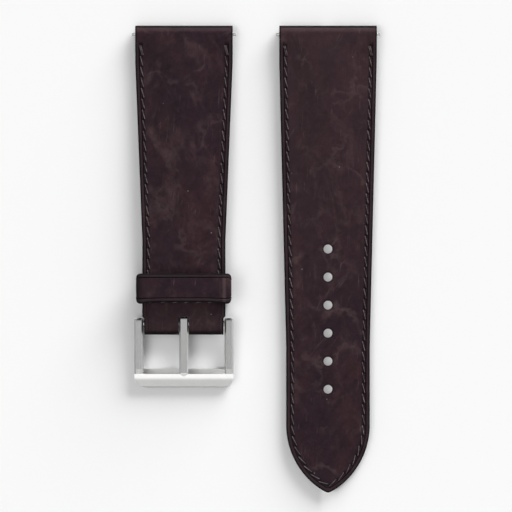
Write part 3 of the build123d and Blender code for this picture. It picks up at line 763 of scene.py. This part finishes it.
def wall_and_underside(side):
    """Columns down the outer leather's edge and in under it, buried in the lining where there is one."""
    edge_x, edge_y = side.outline(0.0)
    low, edge = side.levels(edge_y)[:2]
    lined = edge_y < lining_start_y + 0.12
    if not side.pointed:
        lined = lined & (edge_y > buckle_lining_end_y)
    foot = np.where(lined, low + lining_thickness + joint_gap, low + foot_height)
    head = edge - edge_round
    heights = [side.squeezed(head + (foot - head) * share, edge_y) for share in wall_shares]
    columns = [(edge_x, edge_y, z, 0.0, 0.0) for z in heights]
    step_x = np.where(lined, side.outline(joint_inset)[0], np.maximum(edge_x - foot_inset, 0))
    step_z = np.where(lined, low + lining_thickness - joint_depth, low + foot_rise)
    columns.append((step_x, edge_y, side.squeezed(step_z, edge_y), 0.0, 0.0))
    buried = low + buried_height
    for inset in under_insets:
        x, y = side.outline(inset)
        z = np.where(lined, buried, low + side.under_groove(inset, y))
        columns.append((x, y, side.squeezed(z, y), inset, 0.0))
    inner_x, inner_y = side.outline(border_width)
    z = side.squeezed(np.where(lined, buried, low), edge_y)
    return columns + [(inner_x * share, inner_y, z, border_width + 1, 0.0) for share in under_shares]


def top_leather(side, name, material):
    """The outer leather with the padding's crown, and turned under where there is no lining."""
    shell = Shell(side)
    for sign in (1, -1):
        shell.add_half(outer_face(side, sign) + wall_and_underside(side), sign)
    return shell.mesh(name, material)


def lining(side, name, material):
    """The lining, with the stitching groove in its underside."""
    shell, y_all = Shell(side), side.rows[:, 0]
    keep = y_all <= lining_start_y
    if not side.pointed:
        keep = keep & (y_all >= buckle_lining_end_y + 0.1)
    rows = side.rows[keep]
    inner_x, inner_y = side.outline(border_width, rows)
    inner_low = side.levels(inner_y)[0]
    for sign in (1, -1):
        columns = []
        for share in under_shares[::-1]:
            rim = side.pits(sign * inner_x * share, inner_y)[1]
            columns.append((inner_x * share, inner_y, inner_low, border_width + 1, rim))
        for inset in under_insets[::-1]:
            x, y = side.outline(inset, rows)
            awl = side.pits(sign * x, y)[0]
            columns.append((x, y, side.levels(y)[0] + side.under_groove(inset, y), inset, awl))
        for inset, height in lining_edge:
            x, y = side.outline(inset, rows)
            columns.append((x, y, side.levels(y)[0] + height, inset, 0.0))
        for share in lining_top_shares:
            columns.append((inner_x * share, inner_y, inner_low + lining_thickness, border_width + 1, 0.0))
        shell.add_half(columns, sign)
    return shell.mesh(name, material)


def twisted(name, paths, material):
    """Three-ply thread along each path: paths is an array of (stitch, point, xyz), in millimetres."""
    paths = np.asarray(paths, float)
    count, points = paths.shape[:2]
    ahead = np.gradient(paths, axis=1)
    ahead /= np.linalg.norm(ahead, axis=2)[..., None]
    aside = np.cross(ahead, np.array([0.0, 0.0, 1.0]))
    aside /= np.linalg.norm(aside, axis=2)[..., None]
    up = np.cross(aside, ahead)
    gaps = np.linalg.norm(np.diff(paths, axis=1), axis=2)
    walked = np.concatenate([np.zeros((count, 1)), np.cumsum(gaps, axis=1)], axis=1)
    phase = np.arange(plies) * 2 * math.pi / plies
    turned = -2 * math.pi * walked[:, None, :] / thread_twist
    angle = turned + phase[None, :, None] + np.arange(count)[:, None, None]
    swing = np.cos(angle)[..., None] * aside[:, None] + np.sin(angle)[..., None] * up[:, None]
    middle = paths[:, None] + ply_offset * swing
    corner = (np.arange(ply_sides) * 2 * math.pi / ply_sides)[None, None, None, :, None]
    around = np.cos(corner) * aside[:, None, :, None, :] + np.sin(corner) * up[:, None, :, None, :]
    verts = (middle[..., None, :] + ply_radius * around).reshape(-1, 3)
    one_ply = points * ply_sides
    ply_starts = range(0, count * plies * one_ply, one_ply)
    faces = [[start + i for i in face] for start in ply_starts for face in ring_faces(points, ply_sides)]
    return new_object(name, verts, faces, material, thread_angle)


def dive(share, start):
    """How deep a stitch is in its two holes: 0 along its middle, 1 at both ends."""
    return np.clip((np.abs(2 * share - 1) - start) / (1 - start), 0, 1) ** 2


def seam_thread(side, name, material):
    """Every stitch of a piece's seam, above and below, with doubled back-stitches at the lug end."""
    share = np.linspace(0, 1, stitch_points)
    deep = dive(share, dive_start)
    paths = []
    starts, ends, aside = side.stitch_lines()
    last = len(starts) - 1
    for i, (start, end, across) in enumerate(zip(starts, ends, aside)):
        for shift in (-back_stitch_shift, back_stitch_shift) if i in (0, last) else (0.0,):
            x, y = (start + (end - start) * share[:, None] + across * shift).T
            z = side.seam_z(x, y) + stitch_rise - stitch_dive * deep
            paths.append(np.stack([x + side.centre_x, y, z], axis=1))
        back, slanted = start - across * 2 * stitch_slant, end - start + across * 4 * stitch_slant
        x, y = (back + slanted * share[:, None]).T
        z = side.levels(y)[0] + under_rise + under_dive * deep
        paths.append(np.stack([x + side.centre_x, y, z], axis=1))
    return twisted(name, paths, material)


def keeper_path():
    """Points (x, z, outward x, outward z) round the band, open at the joint in the middle underneath."""
    centre, half = keeper_middle[[0, 2]], keeper_half[[0, 2]]
    straight, gap = half - keeper_corner, keeper_joint_gap / 2
    runs = [  # start, end and number of points
        ((gap, -half[1]), (straight[0], -half[1]), 24),
        ((half[0], -straight[1]), (half[0], straight[1]), 9),
        ((straight[0], half[1]), (-straight[0], half[1]), 46),
        ((-half[0], straight[1]), (-half[0], -straight[1]), 9),
        ((-straight[0], -half[1]), (-gap, -half[1]), 24),
    ]
    corners = [(1, -1), (1, 1), (-1, 1), (-1, -1)]
    points = []
    for index, (start, end, count) in enumerate(runs):
        facing = math.pi / 2 * (index - 1)
        outward = (round(math.cos(facing)), round(math.sin(facing)))
        run = np.linspace(start, end, count)[min(index, 1) : count - (index < 4)]
        points += [(*(centre + place), *outward) for place in run]
        if index < 4:
            for turn in np.radians(90 * (index - 1) + np.linspace(0, 90, keeper_corner_points)):
                out = np.array([math.cos(turn), math.sin(turn)])
                points.append((*(centre + straight * corners[index] + keeper_corner * out), *out))
    return np.array(points)


def keeper_section():
    """Points round the band's cut: (y from the middle, depth under the outer face, inset from the edge)."""
    half = keeper_half[1]
    border = []
    for inset in keeper_insets:
        part = max(keeper_edge_round - inset, 0)
        depth = keeper_edge_round - math.sqrt(keeper_edge_round**2 - part**2)
        depth += keeper_crease_depth * gauss(inset, crease_inset, keeper_crease_width)
        depth -= keeper_band_swell * gauss(inset, band_inset, band_width)
        border.append((half - inset, depth, inset))
    flat = (half - keeper_flat_inset, 0.0, keeper_flat_inset)
    lower_border = [((half - y) * keeper_lower_share - half, depth, inset) for y, depth, inset in border]
    outer = border + [flat] + lower_border[::-1]
    wall = [(0.0, 0.55, 0.0), (0.03, 0.85, 0.0), (0.12, keeper_wall - 0.06, 0.1), (0.3, keeper_wall, 0.3)]
    lower = [(y - half, depth, inset) for y, depth, inset in wall]
    inner = [(-half / 2, keeper_wall, 2.0), (0.0, keeper_wall, 3.0), (half / 2, keeper_wall, 2.0)]
    back = [(half - y, depth, inset) for y, depth, inset in wall[::-1]]
    return np.array(outer + lower + inner + back)


def keeper_band(name, material):
    """The loop, with creased and rounded edges, narrower at both sides and bowed at its lower edge."""
    path_x, path_z, out_x, out_z = keeper_path().T[:, :, None]
    section_y, depth, inset = keeper_section().T[:, None, :]
    half_x, half_y = keeper_half[:2]
    x, z = path_x - depth * out_x, path_z - depth * out_z
    from_middle = np.abs(x - keeper_middle[0])
    over = np.maximum(from_middle - (half_x - keeper_plan_radius), 0)
    round_in = keeper_plan_radius - np.sqrt(np.maximum(keeper_plan_radius**2 - over**2, 0))
    y = section_y * (half_y - keeper_waist * round_in) / half_y
    on_top = fade(out_z, 0.5, 1.0)
    across = np.clip(from_middle / (half_x - 1.2), 0, 1)
    y = y + keeper_lower_lift * on_top * (1 - across**4) * np.clip(-section_y / half_y, 0, 1) ** 2
    z = z + keeper_wave * on_top * np.sin(0.5 * x + 1.0) * np.sin(0.8 * y)
    verts = np.stack([x, y + keeper_middle[1], z], axis=2).reshape(-1, 3)
    insets = np.broadcast_to(inset, x.shape).reshape(-1)
    faces = ring_faces(*x.shape)
    return new_object(name, verts, faces, material, leather_angle, edge_mm=insets, pit=np.zeros(x.size))


def keeper_stitches(name, material):
    """Stitches across the loop's joint, let into its underside."""
    low, high = box_mm("keeper_thread")
    share = np.linspace(0, 1, keeper_stitch_points)
    x = low[0] + thread_radius + (high[0] - low[0] - 2 * thread_radius) * share
    z = low[2] + thread_radius + keeper_stitch_dive * dive(share, keeper_dive_start)
    slant = keeper_stitch_slant * (share - 0.5)
    ys = np.linspace(low[1] + thread_radius, high[1] - thread_radius, keeper_stitch_count)
    return twisted(name, [np.stack([x, y + slant, z], axis=1) for y in ys], material)


# Strap pieces, each with a number of its own that shifts its patterns
hole_seed, buckle_seed, keeper_seed = 1.7, 0.4, 3.1
hole_leather = leather_material("leather_hole_piece", hole_seed, lift=0.24)
buckle_leather = leather_material("leather_buckle_piece", buckle_seed, streaks=0.7, fold_end_y=buckle_low[1])
# The loop's left and right bends, which get painted shade and a painted highlight
keeper_bends = (keeper_low[0], keeper_high[0])
keeper_leather = leather_material(
    "leather_keeper", keeper_seed, streaks=0.3, scratches=1.8, has_seam=False, bends=keeper_bends
)
nubuck, waxed_thread = lining_material(), thread_material()

hole_side = Side(hole_x, hole_taper_end_y, hole_half_width, hole_heights, True, hole_seed)
buckle_side = Side(buckle_x, buckle_taper_end_y, buckle_half_width, buckle_heights, False, buckle_seed)
along_x = Matrix.Rotation(math.pi / 2, 4, "Y")
upright = Matrix.Identity(4)


def hole_cutters(material):
    places = [(hole_x, first_hole_y - i * hole_pitch, through_z) for i in range(hole_count)]
    return [cylinder(hole_radius, through_height, place, upright, material) for place in places]


def lug_cutter(side, material):
    place = (side.centre_x, lug_end_y - lug_radius, lug_axis_z)
    return cylinder(lug_channel_radius, through_width, place, along_x, material)


def bar_and_slot_cutters(material):
    """The buckle bar's channel, and the tongue's slot with round room for its eye."""
    place = (buckle_x, bar_y, bar_z)
    slot_place = (buckle_x, slot_end_y - slot_length / 2, bar_z)
    return [
        cylinder(bar_channel_radius, through_width, place, along_x, material),
        block((2 * slot_half, slot_length, slot_height), slot_place, material),
        cylinder(slot_relief_radius, 2 * slot_half, place, along_x, material),
    ]


hole_top = top_leather(hole_side, "hole_piece_leather", hole_leather)
cut(hole_top, [lug_cutter(hole_side, hole_leather), *hole_cutters(hole_leather)])
hole_lining = lining(hole_side, "hole_piece_lining", nubuck)
cut(hole_lining, hole_cutters(nubuck))
hole_thread = seam_thread(hole_side, "hole_piece_thread", waxed_thread)

buckle_top = top_leather(buckle_side, "buckle_piece_leather", buckle_leather)
cut(buckle_top, [lug_cutter(buckle_side, buckle_leather), *bar_and_slot_cutters(buckle_leather)])
buckle_lining = lining(buckle_side, "buckle_piece_lining", nubuck)
buckle_thread = seam_thread(buckle_side, "buckle_piece_thread", waxed_thread)

band = keeper_band("keeper_loop", keeper_leather)
band_thread = keeper_stitches("keeper_stitches", waxed_thread)

for piece, body, slot_name, nodes in (
    (hole_top, "hole_half", "leather", ("hole_side_top_leather", "hole_side_padding")),
    (hole_lining, "hole_half", "lining", ("hole_side_lining",)),
    (hole_thread, "hole_half", "thread", ("hole_side_thread_a", "hole_side_thread_b")),
    (buckle_top, "buckle_half", "leather", ("buckle_side_top_leather", "buckle_side_padding")),
    (buckle_lining, "buckle_half", "lining", ("buckle_side_lining",)),
    (buckle_thread, "buckle_half", "thread", ("buckle_side_thread_a", "buckle_side_thread_b")),
    (band, "keeper", "leather", ("keeper_band",)),
    (band_thread, "keeper", "thread", ("keeper_thread",)),
):
    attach(piece, body)
    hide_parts(*nodes)

# Steel
frame_steel = steel_material(
    "satin_steel_frame", 0.1, 0.1, 0.61, 0.8, front_y=front_bar_y, outer_left_x=left_arm_x
)
tongue_steel = steel_material("satin_steel_tongue", 0.12, 0.1, 0.68, 0.85, left_shade_tone=0.6)
bar_steel = steel_material("turned_steel", 0.25, 0.2, 0.6, 0.6, across=True)
spring_steel = steel_material("spring_wire", 0.15, 0.15, 0.65, 0.65)


def steel_of(node):
    """The steel of a CAD node that is shown itself, or None for the strap's own nodes."""
    if node == "buckle_frame":
        return frame_steel
    if node == "buckle_tongue":
        return tongue_steel
    if node.endswith("_spring"):
        return spring_steel
    return bar_steel if "_bar_" in node else None


for node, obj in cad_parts.items():
    steel = steel_of(node)
    if steel:
        for slot_place in obj.material_slots:
            slot_place.material = steel

# Floor: matt pale paper, with painted light along the line of the adjusting holes, where it glows for camera
# and glossy rays
FLOOR_TONE, HOLE_GLOW = 0.94, 0.32
FLOOR_HALF, FLOOR_Z = 3.0, -2e-5
floor_mesh = bpy.data.meshes.new("floor")
floor_corners = [(x * FLOOR_HALF, y * FLOOR_HALF, FLOOR_Z) for x, y in ((-1, -1), (1, -1), (1, 1), (-1, 1))]
floor_mesh.from_pydata(floor_corners, [], [(0, 1, 2, 3)])
floor = add_object("floor", floor_mesh)
paper = Paint("paper")
paper_colour = (FLOOR_TONE, FLOOR_TONE, FLOOR_TONE, 1)
paper.finish(Base_Color=paper_colour, Roughness=1.0, Specular_IOR_Level=0.0)
ray = paper.node("LightPath").outputs
seen = paper.calc("MAXIMUM", ray["Is Camera Ray"], ray["Is Glossy Ray"])
beside = paper.calc("ABSOLUTE", paper.calc("SUBTRACT", paper.own(0), hole_x))
share = paper.times(seen, paper.rise(beside, hole_radius, 2 * hole_radius, HOLE_GLOW, 0.0))
glow = paper.node("Emission", {"Color": paper_colour, "Strength": 1.0})
both = paper.node("MixShader", {0: share, 1: paper.shader.outputs[0], 2: glow.outputs[0]})
paper.tree.links.new(both.outputs[0], paper.tree.nodes["Material Output"].inputs["Surface"])
floor_mesh.materials.append(paper.material)

# Soft light from all round: a brighter zenith, a patch high up at the left, a strip over the front and a
# ring round the horizon that is brighter at the right
SKY_BASE, SKY_ZENITH, SKY_PATCH = 0.26, 0.32, 3.1
ZENITH_RIM, ZENITH_CORE = 0.961, 0.978
PATCH_PLACE, PATCH_RIM, PATCH_CORE = (-0.35, -0.077, 0.934), 0.923, 0.973
STRIP_HIGH, STRIP_LOW, RING_LOW, RING_RIGHT = 0.53, 0.42, 0.25, 0.25
world = bpy.data.worlds.new("studio")
bpy.context.scene.world = world
world.use_nodes = True
sky = Graph(world.node_tree)
direction = sky.node("TexCoord").outputs["Generated"]


def towards(*place):
    """How closely the sky's direction points to this place."""
    return sky.node("VectorMath", {0: direction, 1: place}, operation="DOT_PRODUCT").outputs["Value"]


right, front, up = towards(1, 0, 0), towards(0, -1, 0), towards(0, 0, 1)
patch = sky.rise(towards(*PATCH_PLACE), PATCH_RIM, PATCH_CORE, 0.0, SKY_PATCH)
patch = sky.times(patch, sky.rise(up, ZENITH_RIM, ZENITH_CORE, 1.0, 0.0))
zenith = sky.rise(up, ZENITH_RIM, ZENITH_CORE, SKY_BASE, SKY_BASE + SKY_ZENITH)
strip = sky.calc("ADD", sky.rise(front, 0.5, 0.72, STRIP_HIGH, 0.0), STRIP_LOW)
strip = sky.times(strip, sky.rise(front, 0.22, 0.28))
strip = sky.times(strip, sky.rise(sky.calc("ABSOLUTE", right), 0.12, 0.3, 1.0, 0.0))
ring = sky.calc("ADD", sky.rise(right, 0.2, 0.9, 0.0, RING_RIGHT), RING_LOW)
ring = sky.times(ring, sky.rise(up, 0.05, 0.3, 1.0, 0.0))
level = sky.calc("ADD", sky.calc("ADD", patch, zenith), sky.calc("ADD", strip, ring))
background = sky.tree.nodes["Background"].inputs
sky.feed(background["Strength"], level)
sky.feed(background["Color"], (1, 1, 1, 1))

# Key light, low from the upper right of the view and very soft
KEY_ENERGY, KEY_ANGLE = 3.9, 42
KEY_AZIMUTH, KEY_ELEVATION = 60, 20
lamp = bpy.data.lights.new("key", "SUN")
lamp.energy = KEY_ENERGY
lamp.angle = math.radians(KEY_ANGLE)
key = add_object("key", lamp)
azimuth, elevation = math.radians(KEY_AZIMUTH), math.radians(KEY_ELEVATION)
towards_key = Vector((math.cos(azimuth), math.sin(azimuth), math.tan(elevation)))
key.rotation_euler = towards_key.to_track_quat("Z", "Y").to_euler()

# Camera, straight above, in metres
camera_distance, seen_plane, seen_width, seen_y = 1.0, 0.0035, 0.12603, 0.000775
view = bpy.data.cameras.new("view")
camera = add_object("view", view)
camera.location = (0, seen_y, camera_distance + seen_plane)
view.sensor_width = 36.0
view.lens = view.sensor_width * camera_distance / seen_width
view.clip_start, view.clip_end = 0.01, 20
bpy.context.scene.camera = camera
bpy.context.scene.view_settings.view_transform = "Standard"
